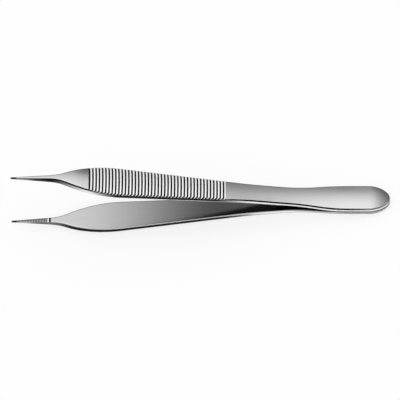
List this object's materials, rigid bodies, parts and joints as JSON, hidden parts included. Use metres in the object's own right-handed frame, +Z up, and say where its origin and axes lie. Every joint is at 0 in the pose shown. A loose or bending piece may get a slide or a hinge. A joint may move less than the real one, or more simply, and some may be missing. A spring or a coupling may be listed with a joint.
{
  "type": "thumb forceps",
  "caption": "Spring thumb forceps: flat steel arms joined at the butt, broad ridged grips and slender jaws with cross-serrated tips.",
  "frame": {"origin": "on the table under the middle of the bounding box, as the forceps lies on the heel of its butt and the shoulder of its lower arm", "axes": "+X from the tips towards the butt, +Y across the width of the arms, +Z up, in the direction in which the arms spread"},
  "size_m": [0.1206, 0.0112, 0.0238],
  "materials": {
    "satin_steel": "satin-finished stainless steel"
  },
  "bodies": {
    "root": {"upper_arm": "satin_steel", "lower_arm": "satin_steel"}
  },
  "joints": []
}
